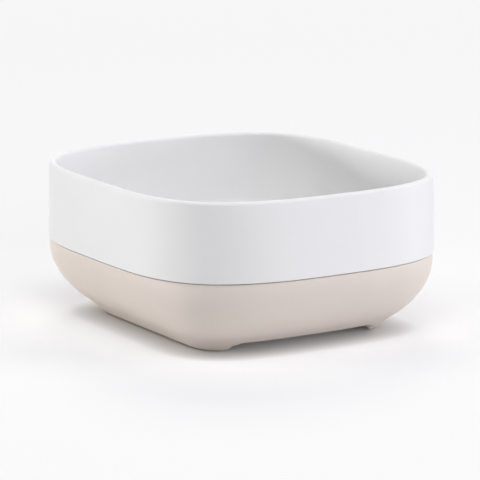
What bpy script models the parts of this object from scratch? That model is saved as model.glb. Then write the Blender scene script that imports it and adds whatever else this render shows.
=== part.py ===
"""Two-part soap dish: a white drain tray that lifts off a beige water base on non-slip pads.

Metres, +Z up. The origin is on the surface the dish stands on, under the middle of the dish.
X runs along the long side, Y along the short side.
"""

import math

import bmesh
import bpy

# Whole dish
LENGTH = 0.110
WIDTH = 0.100
TOTAL_HEIGHT = 0.0476
BASE_HEIGHT = 0.0238

# Plan outline: powers of the rounded rectangle at the seam and at the foot, and of the change between
SEAM_POWER_X = 3.75
SEAM_POWER_Y = 2.9
FOOT_POWER_X = 10.4
FOOT_POWER_Y = 3.0
CHANGE_POWER = 1.43

# Fits between pieces, and how far a cut runs past what it cuts
CLEARANCE = 0.0003
SPIGOT_PLAY = 0.0006
OVERRUN = 0.002

# Tray wall and rim
TRAY_WALL = 0.0020
WALL_LEAN = 0.0004
INNER_WALL_SLOPE = 0.0006
RIM_OUTER_ROUND = 0.0009
RIM_INNER_ROUND = 0.0010
SKIRT_EDGE_ROUND = 0.0004

# Tray well, floor and the spigot under it
WELL_ROUND = 0.0045
FLOOR_BELOW_SEAM = 0.0020
FLOOR_THICKNESS = 0.0022
FLOOR_FALL = 0.0010
SPIGOT_STRAIGHT = 0.0012

# Ribs on the tray's floor and the drain slots between them
RIB_PITCH = 0.0105
RIB_WIDTH = 0.0030
RIB_RISE = 0.0030
RIB_EDGE_ROUND = 0.0007
RIB_END_GAP = 0.0030
SLOT_WIDTH = 0.0032
SLOT_BRIDGE = 0.0080
SLOT_REACH_SHARE = 0.80

# Base wall, the curve of its underside and the basin inside
SEAM_STEP = 0.0004
BASE_WALL = 0.0022
BASE_EDGE_ROUND = 0.0004
CURVE_REACH = 0.0259
CURVE_DEPTH_SHARE = 1.047
CURVE_POWER = 1.56
BASIN_THICKNESS = 0.0020
BASIN_EDGE_RISE = 0.0008
BASIN_EDGE_RUN = 0.0025

# Runners that the base stands on and the channel between them
RUNNER_BAND = 0.0043
RUNNER_BLEND = 0.0060
RUNNER_SIDE_RISE = 0.0030
RUNNER_SIDE_RUN = 0.0032
CHANNEL_RISE = 0.0025
CHANNEL_SKIM = 0.0001

# Non-slip pads
PAD_PROUD = 0.0004
PAD_THICKNESS = 0.0010
PAD_LENGTH = 0.0140
PAD_WIDTH = 0.0026
PAD_EDGE_ROUND = 0.0002
PAD_PLACE_SHARE = 0.48

# Steps in the curves
AROUND = 80
ARC_STEPS = 4
CURVE_STEPS = 10
WELL_STEPS = 7
BLEND_STEPS = 8
END_STEPS = 6

QUARTER_TURN = math.pi / 2
SMOOTH_ANGLE = math.radians(35)

# Heights that pieces share
TRAY_SEAT_Z = BASE_HEIGHT + CLEARANCE
FLOOR_EDGE_Z = TRAY_SEAT_Z - FLOOR_BELOW_SEAM
FLOOR_CENTRE_Z = FLOOR_EDGE_Z - FLOOR_FALL
UNDERSIDE_EDGE_Z = FLOOR_EDGE_Z - FLOOR_THICKNESS
UNDERSIDE_CENTRE_Z = FLOOR_CENTRE_Z - FLOOR_THICKNESS
RIB_TOP_Z = FLOOR_EDGE_Z + RIB_RISE
CURVE_TOP_Z = BASE_HEIGHT - BASE_EDGE_ROUND
CHANNEL_Z = PAD_PROUD + CHANNEL_RISE
BASIN_Z = CHANNEL_Z + BASIN_THICKNESS

# Insets from the widest outline that pieces share
WELL_INSET = TRAY_WALL + INNER_WALL_SLOPE
FLOOR_INSET = WELL_INSET + WELL_ROUND
BASE_INNER_INSET = SEAM_STEP + BASE_WALL
SPIGOT_INSET = BASE_INNER_INSET + SPIGOT_PLAY

WHITE = (0.86, 0.86, 0.85, 1.0)
BEIGE = (0.66, 0.58, 0.51, 1.0)
PAD_COLOUR = (0.34, 0.31, 0.28, 1.0)
SATIN = 0.35
SOFT = 0.8


def clear_scene():
    for item in list(bpy.data.objects):
        bpy.data.objects.remove(item, do_unlink=True)


def plastic(name, colour, roughness):
    material = bpy.data.materials.new(name)
    material.use_nodes = True
    shader = material.node_tree.nodes["Principled BSDF"]
    shader.inputs["Base Color"].default_value = colour
    shader.inputs["Roughness"].default_value = roughness
    shader.inputs["Metallic"].default_value = 0.0
    material.diffuse_color = colour
    return material


def add_object(name, shape, material=None):
    """Put a finished bmesh into the scene as one named object."""
    bmesh.ops.recalc_face_normals(shape, faces=shape.faces)
    mesh = bpy.data.meshes.new(name)
    shape.to_mesh(mesh)
    shape.free()
    mesh.shade_smooth()
    mesh.set_sharp_from_angle(angle=SMOOTH_ANGLE)
    item = bpy.data.objects.new(name, mesh)
    bpy.context.scene.collection.objects.link(item)
    if material:
        mesh.materials.append(material)
    return item


def combine(target, other, operation):
    """Unite with another object, or cut by it. The other stays in the scene as a guide."""
    other.hide_render = True
    other.display_type = "WIRE"
    modifier = target.modifiers.new(other.name, "BOOLEAN")
    modifier.operation = operation
    modifier.solver = "EXACT"
    modifier.object = other


def signed_power(value, power):
    return math.copysign(abs(value) ** power, value)


def plan_powers(height):
    """The outline grows squarer from the seam down to the foot."""
    share = min(max(1 - height / BASE_HEIGHT, 0), 1) ** CHANGE_POWER
    power_x = SEAM_POWER_X + (FOOT_POWER_X - SEAM_POWER_X) * share
    power_y = SEAM_POWER_Y + (FOOT_POWER_Y - SEAM_POWER_Y) * share
    return power_x, power_y


def plan_ring(inset, height):
    """Points of the plan outline, moved in from the widest one and set at a height."""
    power_x, power_y = plan_powers(height)
    points = []
    for step in range(AROUND):
        angle = 2 * math.pi * step / AROUND
        x = (LENGTH / 2 - inset) * signed_power(math.cos(angle), 2 / power_x)
        y = (WIDTH / 2 - inset) * signed_power(math.sin(angle), 2 / power_y)
        points.append((x, y, height))
    return points


def floor_reach(y):
    """How far the tray's floor reaches along X at a distance y from the middle."""
    share = min(abs(y) / (WIDTH / 2 - FLOOR_INSET), 1)
    return (LENGTH / 2 - FLOOR_INSET) * (1 - share ** SEAM_POWER_Y) ** (1 / SEAM_POWER_X)


def bridge(shape, rings):
    """Join rings of vertices, each to the next, with faces."""
    count = len(rings[0])
    for lower, upper in zip(rings, rings[1:]):
        for index in range(count):
            after = (index + 1) % count
            shape.faces.new((lower[index], lower[after], upper[after], upper[index]))


def skin(section, first_height, last_height):
    """Closed solid through inset and height pairs, each end closed to a point over the middle."""
    shape = bmesh.new()
    rings = [[shape.verts.new(point) for point in plan_ring(*pair)] for pair in section]
    bridge(shape, rings)
    for ring, height in ((rings[0], first_height), (rings[-1], last_height)):
        pole = shape.verts.new((0, 0, height))
        for index in range(AROUND):
            shape.faces.new((ring[index], ring[(index + 1) % AROUND], pole))
    return shape


def arc(centre, radii, start, end, steps):
    """Inset and height pairs along an elliptical arc. Angle zero points outward, away from the middle."""
    pairs = []
    for step in range(steps + 1):
        angle = start + (end - start) * step / steps
        inset = centre[0] - radii[0] * math.cos(angle)
        height = centre[1] + radii[1] * math.sin(angle)
        pairs.append((inset, height))
    return pairs


def round_arc(inset, height, radius, start, end):
    return arc((inset, height), (radius, radius), start, end, ARC_STEPS)


def tray_section():
    """From the edge of the floor's underside, round the wall, to the edge of the floor's top."""
    spigot_foot_z = TRAY_SEAT_Z - SPIGOT_STRAIGHT
    spigot_round = (FLOOR_INSET - SPIGOT_INSET, spigot_foot_z - UNDERSIDE_EDGE_Z)
    section = arc((FLOOR_INSET, spigot_foot_z), spigot_round, -QUARTER_TURN, 0, WELL_STEPS)
    section.append((SPIGOT_INSET, TRAY_SEAT_Z))
    section += round_arc(SKIRT_EDGE_ROUND, TRAY_SEAT_Z + SKIRT_EDGE_ROUND, SKIRT_EDGE_ROUND, -QUARTER_TURN, 0)
    outer_inset = WALL_LEAN + RIM_OUTER_ROUND
    section += round_arc(outer_inset, TOTAL_HEIGHT - RIM_OUTER_ROUND, RIM_OUTER_ROUND, 0, QUARTER_TURN)
    inner_inset = WALL_LEAN + TRAY_WALL - RIM_INNER_ROUND
    section += round_arc(inner_inset, TOTAL_HEIGHT - RIM_INNER_ROUND, RIM_INNER_ROUND, QUARTER_TURN, math.pi)
    well_centre = (FLOOR_INSET, FLOOR_EDGE_Z + WELL_ROUND)
    section += arc(well_centre, (WELL_ROUND, WELL_ROUND), 0, -QUARTER_TURN, WELL_STEPS)
    return section


def base_curve(thickness, lowest_z):
    """The base's side seen in section, from its top edge down to a height, moved in by a thickness."""
    reach = CURVE_REACH - thickness
    depth = CURVE_TOP_Z * CURVE_DEPTH_SHARE - thickness
    last = math.asin(((CURVE_TOP_Z - lowest_z) / depth) ** (CURVE_POWER / 2))
    pairs = []
    for step in range(CURVE_STEPS + 1):
        angle = last * step / CURVE_STEPS
        inset = SEAM_STEP + thickness + reach * (1 - math.cos(angle) ** (2 / CURVE_POWER))
        pairs.append((inset, CURVE_TOP_Z - depth * math.sin(angle) ** (2 / CURVE_POWER)))
    return pairs


def base_section():
    """From the edge of the flat underside, up the outside, over the top edge, down to the basin's floor."""
    outer = base_curve(0, PAD_PROUD + RUNNER_SIDE_RISE)
    inner = base_curve(BASE_WALL, BASIN_Z + BASIN_EDGE_RISE)
    section = [(outer[-1][0] + RUNNER_SIDE_RUN, PAD_PROUD)]
    section += reversed(outer)
    section.append((SEAM_STEP + BASE_EDGE_ROUND, BASE_HEIGHT))
    section.append((BASE_INNER_INSET, BASE_HEIGHT))
    section += inner
    section.append((inner[-1][0] + BASIN_EDGE_RUN, BASIN_Z))
    return section


def foot_half_sizes():
    """Half the length and half the width of the flat that the underside's curve ends in."""
    inset = base_section()[0][0]
    return LENGTH / 2 - inset, WIDTH / 2 - inset


def add_obround(shape, centre, length, width, levels):
    """Upright bar with round ends along X. Each level is a height and an inset of its outline."""
    rings = []
    for height, inset in levels:
        ring = []
        radius = width / 2 - inset
        for end in (1, -1):
            for step in range(END_STEPS + 1):
                angle = math.pi * step / END_STEPS - QUARTER_TURN
                x = centre[0] + end * ((length - width) / 2 + radius * math.cos(angle))
                y = centre[1] + end * radius * math.sin(angle)
                ring.append(shape.verts.new((x, y, height)))
        rings.append(ring)
    bridge(shape, rings)
    shape.faces.new(rings[0])
    shape.faces.new(rings[-1])


def rib_places():
    """Distances of the ribs from the middle, as many as the floor holds."""
    half_floor = WIDTH / 2 - FLOOR_INSET - RIB_END_GAP - RIB_WIDTH / 2
    each_side = int(half_floor / RIB_PITCH)
    return [RIB_PITCH * index for index in range(-each_side, each_side + 1)]


def make_ribs():
    shape = bmesh.new()
    low_z = (FLOOR_CENTRE_Z + UNDERSIDE_EDGE_Z) / 2
    slope = math.sin(QUARTER_TURN / 2)
    levels = [
        (low_z, 0),
        (RIB_TOP_Z - RIB_EDGE_ROUND, 0),
        (RIB_TOP_Z - RIB_EDGE_ROUND * (1 - slope), RIB_EDGE_ROUND * (1 - slope)),
        (RIB_TOP_Z, RIB_EDGE_ROUND),
    ]
    for y in rib_places():
        half_length = floor_reach(abs(y) + RIB_WIDTH / 2) - RIB_END_GAP
        add_obround(shape, (0, y), 2 * half_length, RIB_WIDTH, levels)
    return add_object("rib_guide", shape)


def make_slots():
    shape = bmesh.new()
    levels = [(UNDERSIDE_CENTRE_Z - OVERRUN, 0), (FLOOR_EDGE_Z + OVERRUN, 0)]
    places = rib_places()
    for before, after in zip(places, places[1:]):
        y = (before + after) / 2
        half_length = floor_reach(abs(y) + SLOT_WIDTH / 2) * SLOT_REACH_SHARE
        length = half_length - SLOT_BRIDGE / 2
        for side in (1, -1):
            x = side * (SLOT_BRIDGE + length) / 2
            add_obround(shape, (x, y), length, SLOT_WIDTH, levels)
    return add_object("slot_guide", shape)


def make_tray(material):
    shape = skin(tray_section(), UNDERSIDE_CENTRE_Z, FLOOR_CENTRE_Z)
    tray = add_object("soap_tray", shape, material)
    combine(tray, make_ribs(), "UNION")
    combine(tray, make_slots(), "DIFFERENCE")


def make_channel():
    """The shallow hollow that runs along X between the runners, with sides blended in a soft S."""
    outer_y = foot_half_sizes()[1] - RUNNER_BAND
    low_z = PAD_PROUD - CHANNEL_SKIM
    side = []
    for step in range(BLEND_STEPS + 1):
        share = step / BLEND_STEPS
        rise = (1 - math.cos(math.pi * share)) / 2
        side.append((outer_y - RUNNER_BLEND * share, low_z + (CHANNEL_Z - low_z) * rise))
    outline = [(outer_y, -OVERRUN)] + side
    outline += [(-y, z) for y, z in reversed(outline)]
    shape = bmesh.new()
    far = LENGTH / 2 + OVERRUN
    ends = [[shape.verts.new((x, y, z)) for y, z in outline] for x in (-far, far)]
    bridge(shape, ends)
    shape.faces.new(ends[0])
    shape.faces.new(ends[1])
    return add_object("channel_guide", shape)


def pad_places():
    """Name and place of each pad, in pairs near the ends of the runners."""
    half_length, half_width = foot_half_sizes()
    pad_x = half_length * PAD_PLACE_SHARE
    pad_y = half_width - RUNNER_BAND / 2
    places = []
    for row, y in (("front", -pad_y), ("rear", pad_y)):
        for side, x in (("left", -pad_x), ("right", pad_x)):
            places.append(("grip_pad_" + row + "_" + side, (x, y)))
    return places


def make_pockets():
    shape = bmesh.new()
    levels = [(-OVERRUN, 0), (PAD_THICKNESS + CLEARANCE, 0)]
    for _, place in pad_places():
        add_obround(shape, place, PAD_LENGTH + 2 * CLEARANCE, PAD_WIDTH + 2 * CLEARANCE, levels)
    return add_object("pocket_guide", shape)


def make_base(material):
    base = add_object("water_base", skin(base_section(), PAD_PROUD, BASIN_Z), material)
    combine(base, make_channel(), "DIFFERENCE")
    combine(base, make_pockets(), "DIFFERENCE")


def make_pads(material):
    levels = [(0, PAD_EDGE_ROUND), (PAD_EDGE_ROUND, 0), (PAD_THICKNESS, 0)]
    for name, place in pad_places():
        shape = bmesh.new()
        add_obround(shape, place, PAD_LENGTH, PAD_WIDTH, levels)
        add_object(name, shape, material)


def main():
    clear_scene()
    make_tray(plastic("white_plastic", WHITE, SATIN))
    make_base(plastic("beige_plastic", BEIGE, SATIN))
    make_pads(plastic("soft_pad", PAD_COLOUR, SOFT))


main()
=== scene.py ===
"""Looks of the soap dish: a satin white drain tray on a satin beige base, on a pale floor.

Metres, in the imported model's frame: X along the dish's long side, Y along its short side, Z up
from the surface that it stands on. The tray, the base and the pads are rebuilt with fine surfaces,
each in the place and size of the CAD node that it stands for.
"""

import math

import bpy
import numpy as np
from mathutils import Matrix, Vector


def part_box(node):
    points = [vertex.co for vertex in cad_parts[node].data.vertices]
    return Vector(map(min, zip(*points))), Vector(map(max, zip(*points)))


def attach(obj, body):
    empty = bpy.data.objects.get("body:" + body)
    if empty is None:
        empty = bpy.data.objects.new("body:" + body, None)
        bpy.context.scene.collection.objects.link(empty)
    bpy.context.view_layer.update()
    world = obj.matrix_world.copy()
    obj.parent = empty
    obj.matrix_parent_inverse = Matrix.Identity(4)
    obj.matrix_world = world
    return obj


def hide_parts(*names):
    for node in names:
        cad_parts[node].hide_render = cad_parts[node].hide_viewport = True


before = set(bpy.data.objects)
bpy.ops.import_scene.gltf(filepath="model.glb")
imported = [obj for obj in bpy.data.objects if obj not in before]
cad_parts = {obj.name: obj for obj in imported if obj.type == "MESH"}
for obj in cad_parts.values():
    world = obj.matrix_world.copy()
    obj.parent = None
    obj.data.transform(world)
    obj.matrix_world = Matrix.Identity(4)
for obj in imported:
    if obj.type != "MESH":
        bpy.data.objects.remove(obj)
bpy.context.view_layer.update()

# Places read from the frame
TRAY_LOW, TRAY_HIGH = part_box("soap_tray")
BASE_LOW, BASE_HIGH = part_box("water_base")
LENGTH = TRAY_HIGH.x - TRAY_LOW.x
WIDTH = TRAY_HIGH.y - TRAY_LOW.y
TOTAL_HEIGHT = TRAY_HIGH.z
BASE_HEIGHT = BASE_HIGH.z
PAD_PROUD = BASE_LOW.z
PADS = [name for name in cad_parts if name.startswith("grip_pad")]

# Plan outline, as in the CAD: powers of the rounded rectangle at the seam and at the foot
SEAM_POWER_X = 3.75
SEAM_POWER_Y = 2.9
FOOT_POWER_X = 10.4
FOOT_POWER_Y = 3.0
CHANGE_POWER = 1.43

# Tray
CLEARANCE = 0.0003
TRAY_WALL = 0.0020
WALL_LEAN = 0.0004
INNER_WALL_SLOPE = 0.0006
RIM_OUTER_ROUND = 0.0009
RIM_INNER_ROUND = 0.0010
SKIRT_EDGE_ROUND = 0.00015
WELL_ROUND = 0.0045
FLOOR_BELOW_SEAM = 0.0020
FLOOR_THICKNESS = 0.0022
FLOOR_FALL = 0.0010
SPIGOT_STRAIGHT = 0.0012
SPIGOT_PLAY = 0.0006
SPIGOT_CORNER_ROUND = 0.0005

# Ribs and drain slots in the tray's floor
RIB_PITCH = 0.0105
RIB_WIDTH = 0.0030
RIB_RISE = 0.0030
RIB_EDGE_ROUND = 0.0009
RIB_FOOT_ROUND = 0.0006
RIB_END_GAP = 0.0030
SLOT_WIDTH = 0.0032
SLOT_BRIDGE = 0.0080
SLOT_REACH_SHARE = 0.80
SLOT_EDGE_ROUND = 0.0004

# How far a rounded edge dips into the face it meets, and how far a cutter passes through
SKIM = 0.00004
OVERRUN = 0.001

# Base
SEAM_STEP = 0.0004
BASE_WALL = 0.0022
BASE_EDGE_ROUND = 0.00015
CURVE_TOP_DROP = 0.0004
CURVE_REACH = 0.0259
CURVE_DEPTH_SHARE = 1.047
CURVE_POWER = 1.56
BASIN_THICKNESS = 0.0020
BASIN_EDGE_RISE = 0.0008
BASIN_EDGE_RUN = 0.0025
BASIN_EDGE_ROUND = 0.0020
RUNNER_BAND = 0.0043
RUNNER_BLEND = 0.0060
RUNNER_SIDE_RISE = 0.0030
RUNNER_SIDE_RUN = 0.0032
RUNNER_TOP_ROUND = 0.0040
RUNNER_EDGE_ROUND = 0.0006
CHANNEL_RISE = 0.0025
CHANNEL_DEEP = 0.0012
CHANNEL_EDGE_BLEND = 0.0008

# Pads
PAD_EDGE_ROUND = 0.0003

# Fineness of the meshes
AROUND = 480
ARC_STEPS = 8
WALL_STEPS = 8
WELL_STEPS = 16
CURVE_STEPS = 36
DISH_STEPS = 40
END_STEPS = 20
BISECTIONS = 40

# Angles
QUARTER_TURN = math.pi / 2
QUARTER_ANGLES = [QUARTER_TURN * step / ARC_STEPS for step in range(ARC_STEPS + 1)]
SHARP_ANGLE = math.radians(38)

# Heights and insets that pieces share
TRAY_SEAT_Z = BASE_HEIGHT + CLEARANCE
FLOOR_EDGE_Z = TRAY_SEAT_Z - FLOOR_BELOW_SEAM
FLOOR_CENTRE_Z = FLOOR_EDGE_Z - FLOOR_FALL
UNDERSIDE_EDGE_Z = FLOOR_EDGE_Z - FLOOR_THICKNESS
UNDERSIDE_CENTRE_Z = FLOOR_CENTRE_Z - FLOOR_THICKNESS
RIB_TOP_Z = FLOOR_EDGE_Z + RIB_RISE
CURVE_TOP_Z = BASE_HEIGHT - CURVE_TOP_DROP
RUNNER_TOP_Z = PAD_PROUD + RUNNER_SIDE_RISE
CHANNEL_Z = PAD_PROUD + CHANNEL_RISE
BASIN_Z = CHANNEL_Z + BASIN_THICKNESS
WELL_INSET = TRAY_WALL + INNER_WALL_SLOPE
FLOOR_INSET = WELL_INSET + WELL_ROUND
BASE_INNER_INSET = SEAM_STEP + BASE_WALL
SPIGOT_INSET = BASE_INNER_INSET + SPIGOT_PLAY

# Materials: colours and roughness, and how far they vary
WHITE = (0.84, 0.835, 0.83)
BEIGE = (0.815, 0.727, 0.658)
PAD_GREY = (0.34, 0.31, 0.28)
WHITE_ROUGHNESS = 0.50
BEIGE_ROUGHNESS = 0.50
PAD_ROUGHNESS = 0.80
ROUGHNESS_SPREAD = 0.03
COLOUR_VARIATION = 0.012

# Grain of the materials: sizes, layers of detail, depths, and the part of a noise's range in use
FLOW_GRAIN = 0.030
FLOW_DETAIL = 2
GLOSS_GRAIN = 0.004
GLOSS_DETAIL = 4
MOULD_GRAIN = 0.00028
MOULD_DETAIL = 3
GRAIN_DEPTH = 0.000006
PAD_GRAIN_DEPTH = 0.00003
WAVE_DEPTH = 0.00006
NOISE_LOW = 0.35
NOISE_HIGH = 0.65

# Floor: its colour for the dish and for the eye, its glow, and where it turns into the background
FLOOR_SIZE = 12.0
FLOOR_COLOUR = (0.78, 0.78, 0.78, 1)
# A warm seen colour under a cool glow paints the floor's shade near the dish bluish.
FLOOR_SEEN_COLOUR = (0.632, 0.607, 0.564, 1)
FLOOR_GLOW_COLOUR = (0.935, 0.975, 1.085, 1)
FLOOR_GLOW = 0.390
# Painted contact shade: ambient occlusion dims the glow within this reach of the dish.
FLOOR_PAINTED_SHADE_REACH = 0.0075
FLOOR_FADE_START = 0.35
FLOOR_FADE_END = 1.2
BACKGROUND_COLOUR = (1, 1, 1, 1)
BACKGROUND_LEVEL = 0.94

# Camera, from the photograph's perspective: degrees round from the front and up, aim on the seam
CAMERA_AZIMUTH = 58.67
CAMERA_ELEVATION = 11.90
CAMERA_DISTANCE = 0.900
CAMERA_LENS = 222.2
CAMERA_SHIFT = Vector((0.00017, 0.00028, 0.00051))
CAMERA_AIM = Vector((0, 0, BASE_HEIGHT + CLEARANCE / 2)) + CAMERA_SHIFT

# Softboxes: name, degrees round from the camera's side, degrees up, width, height, watts, colour
SOFTBOX_DISTANCE = 3.0
NEUTRAL = (1, 1, 1)
COOL = (0.925, 0.935, 1.0)
SOFTBOXES = [
    ("top", 0, 66, 1.6, 1.3, 38, NEUTRAL),
    ("back", 180, 42, 1.3, 1.3, 27, NEUTRAL),
    ("left_low", -100, 4, 1.0, 0.4, 38, NEUTRAL),
    ("left_high", -90, 42, 1.3, 1.3, 16, NEUTRAL),
    ("right_front", 20, 20, 1.0, 0.9, 22, COOL),
    ("right", 80, 20, 1.0, 0.9, 12, COOL),
    ("right_high", 90, 42, 1.3, 1.3, 14, COOL),
    ("right_low", 100, 4, 1.0, 0.4, 26, COOL),
]


def plan_powers(height):
    """The outline grows squarer from the seam down to the foot."""
    share = min(max(1 - height / BASE_HEIGHT, 0), 1) ** CHANGE_POWER
    power_x = SEAM_POWER_X + (FOOT_POWER_X - SEAM_POWER_X) * share
    power_y = SEAM_POWER_Y + (FOOT_POWER_Y - SEAM_POWER_Y) * share
    return power_x, power_y


def outline_reach(directions, inset, height):
    """How far the outline at an inset and height lies from the middle, in each direction."""
    power_x, power_y = plan_powers(height)
    along = np.abs(np.cos(directions)) / (LENGTH / 2 - inset)
    across = np.abs(np.sin(directions)) / (WIDTH / 2 - inset)
    low = np.zeros_like(directions)
    high = np.full_like(directions, math.hypot(LENGTH, WIDTH))
    for _ in range(BISECTIONS):
        middle = (low + high) / 2
        outside = (middle * along) ** power_x + (middle * across) ** power_y > 1
        high = np.where(outside, middle, high)
        low = np.where(outside, low, middle)
    return low


def plan_ring(inset, height):
    """Points of the plan outline, moved in from the widest one and set at a height."""
    directions = np.arange(AROUND) * 2 * math.pi / AROUND
    reach = outline_reach(directions, inset, height)
    heights = np.full(AROUND, height)
    return np.stack([reach * np.cos(directions), reach * np.sin(directions), heights], axis=1)


def smooth_step(share):
    return share * share * (3 - 2 * share)


def dish_rings(edge, centre_z):
    """Rings from just inside an edge ring towards the middle, easing to the middle's height."""
    rings = []
    for step in range(1, DISH_STEPS):
        share = 1 - step / DISH_STEPS
        ring = edge * share
        ring[:, 2] = centre_z + (edge[0, 2] - centre_z) * smooth_step(share)
        rings.append(ring)
    return rings


def arc(centre, radii, start, end, steps):
    """Inset and height pairs along an elliptical arc. Angle zero points away from the middle."""
    pairs = []
    for step in range(steps + 1):
        angle = start + (end - start) * step / steps
        inset = centre[0] - radii[0] * math.cos(angle)
        pairs.append((inset, centre[1] + radii[1] * math.sin(angle)))
    return pairs


def round_arc(inset, height, radius, start, end):
    return arc((inset, height), (radius, radius), start, end, ARC_STEPS)


def rounded(corner, before, after, radius):
    """A soft corner: a curve that meets its two straight sides at a distance from the corner."""
    corner, before, after = Vector(corner), Vector(before), Vector(after)
    start = corner + (before - corner).normalized() * radius
    end = corner + (after - corner).normalized() * radius
    pairs = []
    for step in range(ARC_STEPS + 1):
        share = step / ARC_STEPS
        point = start.lerp(corner, share).lerp(corner.lerp(end, share), share)
        pairs.append(tuple(point))
    return pairs


def between(start, end, steps):
    """Pairs inside a straight stretch, without its ends."""
    pairs = []
    for step in range(1, steps):
        share = step / steps
        pairs.append(tuple(low + (high - low) * share for low, high in zip(start, end)))
    return pairs


def link(name, data):
    item = bpy.data.objects.new(name, data)
    bpy.context.scene.collection.objects.link(item)
    return item


def mesh_object(name, points, faces):
    mesh = bpy.data.meshes.new(name)
    mesh.from_pydata(points, [], faces)
    return link(name, mesh)


def side_faces(first, around, count):
    """Faces that join each ring of points to the next, from the number of the first point."""
    faces = []
    for index in range(around):
        after = (index + 1) % around
        for ring in range(count - 1):
            low = first + ring * around
            high = low + around
            faces.append((low + index, low + after, high + after, high + index))
    return faces


def solid(name, rings, first_pole_z, last_pole_z):
    """Closed mesh through rings of points, each end closed to a point over the middle."""
    points = [tuple(point) for ring in rings for point in ring]
    first_pole = len(points)
    points += [(0, 0, first_pole_z), (0, 0, last_pole_z)]
    faces = side_faces(0, AROUND, len(rings))
    last = first_pole - AROUND
    for index in range(AROUND):
        after = (index + 1) % AROUND
        faces.append((after, index, first_pole))
        faces.append((last + index, last + after, first_pole + 1))
    return mesh_object(name, points, faces)


def obround(centre, length, width, spread):
    """Points round a bar with round ends along X, moved outward by a spread."""
    radius = width / 2 + spread
    points = []
    for end in (1, -1):
        for step in range(END_STEPS + 1):
            angle = math.pi * step / END_STEPS - QUARTER_TURN
            x = centre[0] + end * ((length - width) / 2 + radius * math.cos(angle))
            y = centre[1] + end * radius * math.sin(angle)
            points.append((x, y))
    return points


def bars(name, places, levels):
    """Closed bars, each a stack of obrounds. A level gives a spread, and a height for a point."""
    points = []
    faces = []
    for centre, length, width in places:
        first = len(points)
        for spread, height in levels:
            points += [(x, y, height(x, y)) for x, y in obround(centre, length, width, spread)]
        around = (len(points) - first) // len(levels)
        faces += side_faces(first, around, len(levels))
        faces.append(tuple(range(first + around - 1, first - 1, -1)))
        faces.append(tuple(range(len(points) - around, len(points))))
    return mesh_object(name, points, faces)


def carve(piece, other, operation):
    """Cut a piece by another, or unite them, and drop the other."""
    modifier = piece.modifiers.new(other.name, "BOOLEAN")
    modifier.operation = operation
    modifier.solver = "EXACT"
    modifier.object = other
    graph = bpy.context.evaluated_depsgraph_get()
    mesh = bpy.data.meshes.new_from_object(piece.evaluated_get(graph))
    piece.modifiers.clear()
    piece.data = mesh
    bpy.data.objects.remove(other)


def finish_surface(piece):
    """Smooth shading that lets the large faces lead and keeps the true edges."""
    piece.data.shade_smooth()
    piece.data.set_sharp_from_angle(angle=SHARP_ANGLE)
    weights = piece.modifiers.new("even_shading", "WEIGHTED_NORMAL")
    weights.keep_sharp = True


def tray_section():
    """From the edge of the floor's underside, round the wall, to the edge of the floor's top."""
    foot_z = TRAY_SEAT_Z - SPIGOT_STRAIGHT
    spigot_radii = (FLOOR_INSET - SPIGOT_INSET, foot_z - UNDERSIDE_EDGE_Z)
    section = arc((FLOOR_INSET, foot_z), spigot_radii, -QUARTER_TURN, 0, WELL_STEPS)
    seat = (SPIGOT_INSET, TRAY_SEAT_Z)
    section += rounded(seat, (SPIGOT_INSET, foot_z), (0, TRAY_SEAT_Z), SPIGOT_CORNER_ROUND)
    skirt_z = TRAY_SEAT_Z + SKIRT_EDGE_ROUND
    section += round_arc(SKIRT_EDGE_ROUND, skirt_z, SKIRT_EDGE_ROUND, -QUARTER_TURN, 0)
    outer_inset = WALL_LEAN + RIM_OUTER_ROUND
    outer_z = TOTAL_HEIGHT - RIM_OUTER_ROUND
    rim = round_arc(outer_inset, outer_z, RIM_OUTER_ROUND, 0, QUARTER_TURN)
    section += between(section[-1], rim[0], WALL_STEPS) + rim
    inner_inset = WALL_LEAN + TRAY_WALL - RIM_INNER_ROUND
    inner_z = TOTAL_HEIGHT - RIM_INNER_ROUND
    section += round_arc(inner_inset, inner_z, RIM_INNER_ROUND, QUARTER_TURN, math.pi)
    well_centre = (FLOOR_INSET, FLOOR_EDGE_Z + WELL_ROUND)
    well = arc(well_centre, (WELL_ROUND, WELL_ROUND), 0, -QUARTER_TURN, WELL_STEPS)
    return section + between(section[-1], well[0], WALL_STEPS) + well


def dish_height(edge_z, centre_z):
    """Height of a dished face, as a function of a point in plan."""

    def height(x, y):
        reach = outline_reach(np.array([math.atan2(y, x)]), FLOOR_INSET, edge_z)[0]
        share = min(math.hypot(x, y) / reach, 1)
        return centre_z + (edge_z - centre_z) * smooth_step(share)

    return height


def raised(height, rise):
    return lambda x, y: height(x, y) + rise


def at_height(height):
    return lambda x, y: height


def floor_reach(y):
    """How far the tray's floor reaches along X at a distance y from the middle."""
    share = min(abs(y) / (WIDTH / 2 - FLOOR_INSET), 1)
    return (LENGTH / 2 - FLOOR_INSET) * (1 - share ** SEAM_POWER_Y) ** (1 / SEAM_POWER_X)


def rib_lines():
    """Distances of the ribs from the middle, as many as the floor holds."""
    half_floor = WIDTH / 2 - FLOOR_INSET - RIB_END_GAP - RIB_WIDTH / 2
    each_side = int(half_floor / RIB_PITCH)
    return [RIB_PITCH * index for index in range(-each_side, each_side + 1)]


def make_ribs():
    """Bars along the floor, flared where they stand on it and level on top."""
    floor = dish_height(FLOOR_EDGE_Z, FLOOR_CENTRE_Z)
    levels = [(RIB_FOOT_ROUND, raised(floor, -FLOOR_THICKNESS / 2))]
    for angle in QUARTER_ANGLES:
        rise = RIB_FOOT_ROUND * (1 - math.cos(angle)) - SKIM
        levels.append((RIB_FOOT_ROUND * (1 - math.sin(angle)), raised(floor, rise)))
    for angle in QUARTER_ANGLES:
        top_z = RIB_TOP_Z - RIB_EDGE_ROUND * (1 - math.sin(angle))
        levels.append((-RIB_EDGE_ROUND * (1 - math.cos(angle)), at_height(top_z)))
    places = []
    for y in rib_lines():
        half_length = floor_reach(abs(y) + RIB_WIDTH / 2) - RIB_END_GAP
        places.append(((0, y), 2 * half_length, RIB_WIDTH))
    return bars("ribs", places, levels)


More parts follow.
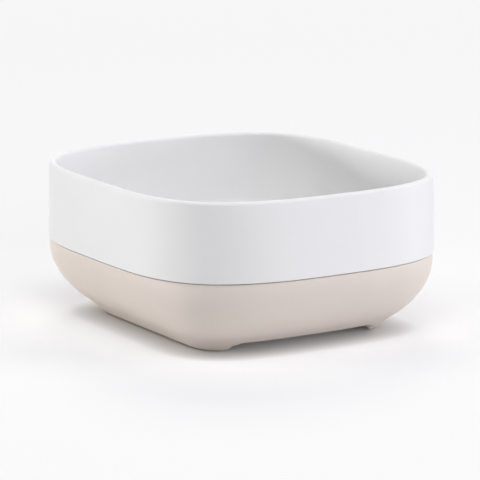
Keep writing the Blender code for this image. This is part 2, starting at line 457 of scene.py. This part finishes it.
def make_slots():
    """Cutters for two rows of slots between the ribs, flared at both faces of the floor."""
    floor = dish_height(FLOOR_EDGE_Z, FLOOR_CENTRE_Z)
    underside = dish_height(UNDERSIDE_EDGE_Z, UNDERSIDE_CENTRE_Z)
    flare = []
    for angle in QUARTER_ANGLES:
        rise = SLOT_EDGE_ROUND * (1 - math.cos(angle)) - SKIM
        flare.append((SLOT_EDGE_ROUND * (1 - math.sin(angle)), rise))
    levels = [(SLOT_EDGE_ROUND, raised(underside, -OVERRUN))]
    levels += [(spread, raised(underside, rise)) for spread, rise in flare]
    levels += [(spread, raised(floor, -rise)) for spread, rise in reversed(flare)]
    levels.append((SLOT_EDGE_ROUND, raised(floor, OVERRUN)))
    places = []
    lines = rib_lines()
    for before, after in zip(lines, lines[1:]):
        y = (before + after) / 2
        half_length = floor_reach(abs(y) + SLOT_WIDTH / 2) * SLOT_REACH_SHARE
        length = half_length - SLOT_BRIDGE / 2
        for side in (1, -1):
            places.append(((side * (SLOT_BRIDGE + length) / 2, y), length, SLOT_WIDTH))
    return bars("slots", places, levels)


def make_tray():
    section = [plan_ring(*pair) for pair in tray_section()]
    under = dish_rings(section[0], UNDERSIDE_CENTRE_Z)
    over = dish_rings(section[-1], FLOOR_CENTRE_Z)
    rings = under[::-1] + section + over
    tray = solid("drain_tray", rings, UNDERSIDE_CENTRE_Z, FLOOR_CENTRE_Z)
    carve(tray, make_ribs(), "UNION")
    carve(tray, make_slots(), "DIFFERENCE")
    finish_surface(tray)
    return tray


def base_curve(thickness, lowest_z):
    """The base's side in section, moved in by a thickness: from near its top down to a height."""
    reach = CURVE_REACH - thickness
    depth = CURVE_TOP_Z * CURVE_DEPTH_SHARE - thickness
    last = math.asin(((CURVE_TOP_Z - lowest_z) / depth) ** (CURVE_POWER / 2))
    pairs = []
    for step in range(CURVE_STEPS + 1):
        angle = last * step / CURVE_STEPS
        inset = SEAM_STEP + thickness + reach * (1 - math.cos(angle) ** (2 / CURVE_POWER))
        pairs.append((inset, CURVE_TOP_Z - depth * math.sin(angle) ** (2 / CURVE_POWER)))
    return pairs


def outside_section():
    """From the edge of the flat underside up the runner's side and the curve to the top edge."""
    curve = base_curve(0, RUNNER_TOP_Z)
    foot = (curve[-1][0] + RUNNER_SIDE_RUN, PAD_PROUD)
    inner = (foot[0] + 2 * RUNNER_EDGE_ROUND, PAD_PROUD)
    section = rounded(foot, inner, curve[-1], RUNNER_EDGE_ROUND)
    kept = [pair for pair in curve if pair[1] > RUNNER_TOP_Z + RUNNER_TOP_ROUND / 2]
    section += rounded(curve[-1], foot, kept[-1], RUNNER_TOP_ROUND / 2)[1:]
    section += reversed(kept)
    edge = (SEAM_STEP + BASE_EDGE_ROUND, BASE_HEIGHT - BASE_EDGE_ROUND)
    section += round_arc(*edge, BASE_EDGE_ROUND, 0, QUARTER_TURN)
    return section


def inside_section():
    """From the top edge down the basin's wall to the edge of its floor."""
    curve = base_curve(BASE_WALL, BASIN_Z + BASIN_EDGE_RISE)
    corner = (BASE_INNER_INSET, BASE_HEIGHT)
    section = rounded(corner, (SEAM_STEP, BASE_HEIGHT), curve[0], BASE_EDGE_ROUND)
    section += curve[1:-1]
    floor = (curve[-1][0] + BASIN_EDGE_RUN, BASIN_Z)
    section += rounded(curve[-1], curve[-2], floor, BASIN_EDGE_RISE / 2)
    beyond = (floor[0] + BASIN_EDGE_ROUND, BASIN_Z)
    section += rounded(floor, curve[-1], beyond, BASIN_EDGE_ROUND / 2)
    return section


def foot_half_width():
    return WIDTH / 2 - base_curve(0, RUNNER_TOP_Z)[-1][0] - RUNNER_SIDE_RUN


def smooth_maximum(first, second, blend):
    near = np.maximum(blend - np.abs(first - second), 0) / blend
    return np.maximum(first, second) + near * near * blend / 4


def channel_height(y):
    """Ceiling of the channel under the base, and below the runners' underside where they are."""
    outer = foot_half_width() - RUNNER_BAND
    share = np.clip((outer - np.abs(y)) / RUNNER_BLEND, 0, 1)
    rise = (1 - np.cos(math.pi * share)) / 2
    low = PAD_PROUD - CHANNEL_DEEP
    return low + (CHANNEL_Z - low) * rise


def lift_to_channel(ring):
    lifted = ring.copy()
    lifted[:, 2] = smooth_maximum(ring[:, 2], channel_height(ring[:, 1]), CHANNEL_EDGE_BLEND)
    return lifted


def pad_place(name):
    """A pad's middle in plan, its length and its width."""
    low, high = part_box(name)
    centre = (low + high) / 2
    return (centre.x, centre.y), high.x - low.x, high.y - low.y


def make_base():
    outside = [plan_ring(*pair) for pair in outside_section()]
    outside = dish_rings(outside[0], PAD_PROUD)[::-1] + outside
    outside = [lift_to_channel(ring) for ring in outside]
    inside = [plan_ring(*pair) for pair in inside_section()]
    inside += dish_rings(inside[-1], BASIN_Z)
    base = solid("catch_base", outside + inside, outside[0][0, 2], BASIN_Z)
    pocket_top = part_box(PADS[0])[1].z + CLEARANCE
    levels = [(CLEARANCE, at_height(-OVERRUN)), (CLEARANCE, at_height(pocket_top))]
    carve(base, bars("pockets", [pad_place(name) for name in PADS], levels), "DIFFERENCE")
    finish_surface(base)
    return base


def make_pad(name):
    """A pad with a rounded lower edge."""
    low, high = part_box(name)
    levels = []
    for angle in QUARTER_ANGLES:
        rise = PAD_EDGE_ROUND * (1 - math.cos(angle))
        levels.append((-PAD_EDGE_ROUND * (1 - math.sin(angle)), at_height(low.z + rise)))
    levels.append((0, at_height(high.z)))
    pad = bars(name.replace("grip_pad", "pad"), [pad_place(name)], levels)
    finish_surface(pad)
    return pad


class Nodes:
    """Finds and adds shader nodes in one tree, and joins them."""

    def __init__(self, owner):
        owner.use_nodes = True
        self.tree = owner.node_tree

    def __getitem__(self, name):
        return self.tree.nodes[name]

    def add(self, kind, **inputs):
        """A node with its inputs set to values, or joined to other nodes' outputs."""
        node = self.tree.nodes.new(kind)
        for name, value in inputs.items():
            self.put(value, node.inputs[name.replace("_", " ")])
        return node

    def put(self, value, socket):
        if isinstance(value, bpy.types.NodeSocket):
            self.tree.links.new(value, socket)
        else:
            socket.default_value = value

    def pair(self, node, place, first, second):
        """Give two neighbouring inputs of a node, counted from a place, their values."""
        self.put(first, node.inputs[place])
        self.put(second, node.inputs[place + 1])

    def math(self, operation, first, second):
        """The result of a sum or comparison of two numbers."""
        node = self.add("ShaderNodeMath")
        node.operation = operation
        self.pair(node, 0, first, second)
        return node.outputs["Value"]


def noise(nodes, grain, detail):
    """Noise over a piece's own places, with grains of a size in metres."""
    place = nodes.add("ShaderNodeTexCoord").outputs["Object"]
    node = nodes.add("ShaderNodeTexNoise", Vector=place, Scale=1 / grain, Detail=detail)
    return node.outputs["Fac"]


def varied(nodes, share, middle, spread):
    """A number that a noise moves to either side of a middle."""
    low, high = middle - spread, middle + spread
    node = nodes.add("ShaderNodeMapRange", Value=share, To_Min=low, To_Max=high)
    node.inputs["From Min"].default_value = NOISE_LOW
    node.inputs["From Max"].default_value = NOISE_HIGH
    return node.outputs["Result"]


def tinted(nodes, share, colour, variation):
    """A colour that a noise makes a little darker or paler."""
    node = nodes.add("ShaderNodeValToRGB", Fac=share)
    for place, side in zip(node.color_ramp.elements, (-1, 1)):
        place.color = [channel * (1 + side * variation) for channel in colour] + [1]
    node.color_ramp.elements[0].position = NOISE_LOW
    node.color_ramp.elements[1].position = NOISE_HIGH
    return node.outputs["Color"]


def moulded(name, colour, roughness, grain_depth):
    """A moulded surface: fine grain, slow waves, and slight changes of colour and gloss."""
    material = bpy.data.materials.new(name)
    nodes = Nodes(material)
    flow = noise(nodes, FLOW_GRAIN, FLOW_DETAIL)
    gloss = noise(nodes, GLOSS_GRAIN, GLOSS_DETAIL)
    mould = noise(nodes, MOULD_GRAIN, MOULD_DETAIL)
    waves = nodes.add("ShaderNodeBump", Height=flow, Distance=WAVE_DEPTH).outputs["Normal"]
    grain = nodes.add("ShaderNodeBump", Height=mould, Distance=grain_depth, Normal=waves)
    inputs = nodes["Principled BSDF"].inputs
    nodes.put(tinted(nodes, flow, colour, COLOUR_VARIATION), inputs["Base Color"])
    nodes.put(varied(nodes, gloss, roughness, ROUGHNESS_SPREAD), inputs["Roughness"])
    nodes.put(grain.outputs["Normal"], inputs["Normal"])
    return material


def dress(piece, material, slot, body, *nodes):
    piece.data.materials.clear()
    piece.data.materials.append(material)
    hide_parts(*nodes)
    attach(piece, body)


def aim(item, azimuth, elevation, target, distance):
    """Put a camera or lamp at a distance from a target, in degrees round and up, facing it."""
    azimuth, elevation = math.radians(azimuth), math.radians(elevation)
    flat = math.cos(elevation)
    back = Vector((math.sin(azimuth) * flat, -math.cos(azimuth) * flat, math.sin(elevation)))
    item.location = target + back * distance
    item.rotation_euler = back.to_track_quat("Z", "Y").to_euler()


def add_camera():
    data = bpy.data.cameras.new("camera")
    data.lens = CAMERA_LENS
    camera = link("camera", data)
    aim(camera, CAMERA_AZIMUTH, CAMERA_ELEVATION, CAMERA_AIM, CAMERA_DISTANCE)
    bpy.context.scene.camera = camera


def looked_at(nodes):
    """One where a camera, mirror or glass looks at a surface, and zero for light it sends on."""
    path = nodes.add("ShaderNodeLightPath").outputs
    mirrored = nodes.math("MAXIMUM", path["Is Glossy Ray"], path["Is Transmission Ray"])
    return nodes.math("MAXIMUM", path["Is Camera Ray"], mirrored)


def mixed(nodes, share, first, second):
    node = nodes.add("ShaderNodeMixShader", Fac=share)
    nodes.pair(node, 1, first, second)
    return node.outputs["Shader"]


def emission(nodes, colour, strength):
    node = nodes.add("ShaderNodeEmission", Color=colour, Strength=strength)
    return node.outputs["Emission"]


def near_floor(nodes):
    """A matt floor with a glow for a look at it, dimmed near the dish as painted contact shade."""
    seen = nodes.add("ShaderNodeBsdfDiffuse", Color=FLOOR_SEEN_COLOUR).outputs["BSDF"]
    # Painted contact shade: the glow's colour is dimmed by ambient occlusion where the dish is
    # close.
    shade = nodes.add("ShaderNodeAmbientOcclusion", Color=FLOOR_GLOW_COLOUR)
    nodes.put(FLOOR_PAINTED_SHADE_REACH, shade.inputs["Distance"])
    both = nodes.add("ShaderNodeAddShader")
    nodes.pair(both, 0, seen, emission(nodes, shade.outputs["Color"], FLOOR_GLOW))
    return both.outputs["Shader"]


def distance_fade(nodes):
    """Zero near the dish, and one further out on the floor."""
    place = nodes.add("ShaderNodeTexCoord").outputs["Object"]
    distance = nodes.add("ShaderNodeVectorMath")
    distance.operation = "LENGTH"
    nodes.put(place, distance.inputs[0])
    fade = nodes.add("ShaderNodeMapRange", From_Min=FLOOR_FADE_START, From_Max=FLOOR_FADE_END)
    fade.interpolation_type = "SMOOTHSTEP"
    nodes.put(distance.outputs["Value"], fade.inputs["Value"])
    return fade.outputs["Result"]


def floor_material():
    """Matt and pale for the light on the dish. A look at it sees it turn into the background."""
    material = bpy.data.materials.new("floor")
    nodes = Nodes(material)
    bounced = nodes.add("ShaderNodeBsdfDiffuse", Color=FLOOR_COLOUR).outputs["BSDF"]
    far = emission(nodes, BACKGROUND_COLOUR, BACKGROUND_LEVEL)
    ground = mixed(nodes, distance_fade(nodes), near_floor(nodes), far)
    surface = mixed(nodes, looked_at(nodes), bounced, ground)
    nodes.put(surface, nodes["Material Output"].inputs["Surface"])
    nodes.tree.nodes.remove(nodes["Principled BSDF"])
    return material


def add_floor():
    half = FLOOR_SIZE / 2
    corners = [(-half, -half, 0), (half, -half, 0), (half, half, 0), (-half, half, 0)]
    floor = mesh_object("floor", corners, [(0, 1, 2, 3)])
    floor.data.materials.append(floor_material())


def add_lights():
    """Softboxes round the dish that the camera doesn't see."""
    target = Vector((0, 0, BASE_HEIGHT))
    for name, turn, elevation, width, height, power, colour in SOFTBOXES:
        data = bpy.data.lights.new(name, "AREA")
        data.shape = "RECTANGLE"
        data.size = width
        data.size_y = height
        data.energy = power
        data.color = colour
        lamp = link(name, data)
        lamp.visible_camera = False
        aim(lamp, CAMERA_AZIMUTH + turn, elevation, target, SOFTBOX_DISTANCE)


def add_background():
    """A pale world that gives no light: only a look past the floor meets it."""
    world = bpy.data.worlds.new("studio")
    nodes = Nodes(world)
    inputs = nodes["Background"].inputs
    nodes.put(BACKGROUND_COLOUR, inputs["Color"])
    nodes.put(nodes.math("MULTIPLY", looked_at(nodes), BACKGROUND_LEVEL), inputs["Strength"])
    bpy.context.scene.world = world


def main():
    add_camera()
    white = moulded("white_satin", WHITE, WHITE_ROUGHNESS, GRAIN_DEPTH)
    beige = moulded("beige_satin", BEIGE, BEIGE_ROUGHNESS, GRAIN_DEPTH)
    rubber = moulded("soft_pad", PAD_GREY, PAD_ROUGHNESS, PAD_GRAIN_DEPTH)
    dress(make_tray(), white, "white_plastic", "tray", "soap_tray")
    dress(make_base(), beige, "beige_plastic", "base", "water_base")
    for name in PADS:
        dress(make_pad(name), rubber, "soft_pad", "base", name)
    add_floor()
    add_lights()
    add_background()
    bpy.context.scene.view_settings.view_transform = "Standard"


main()
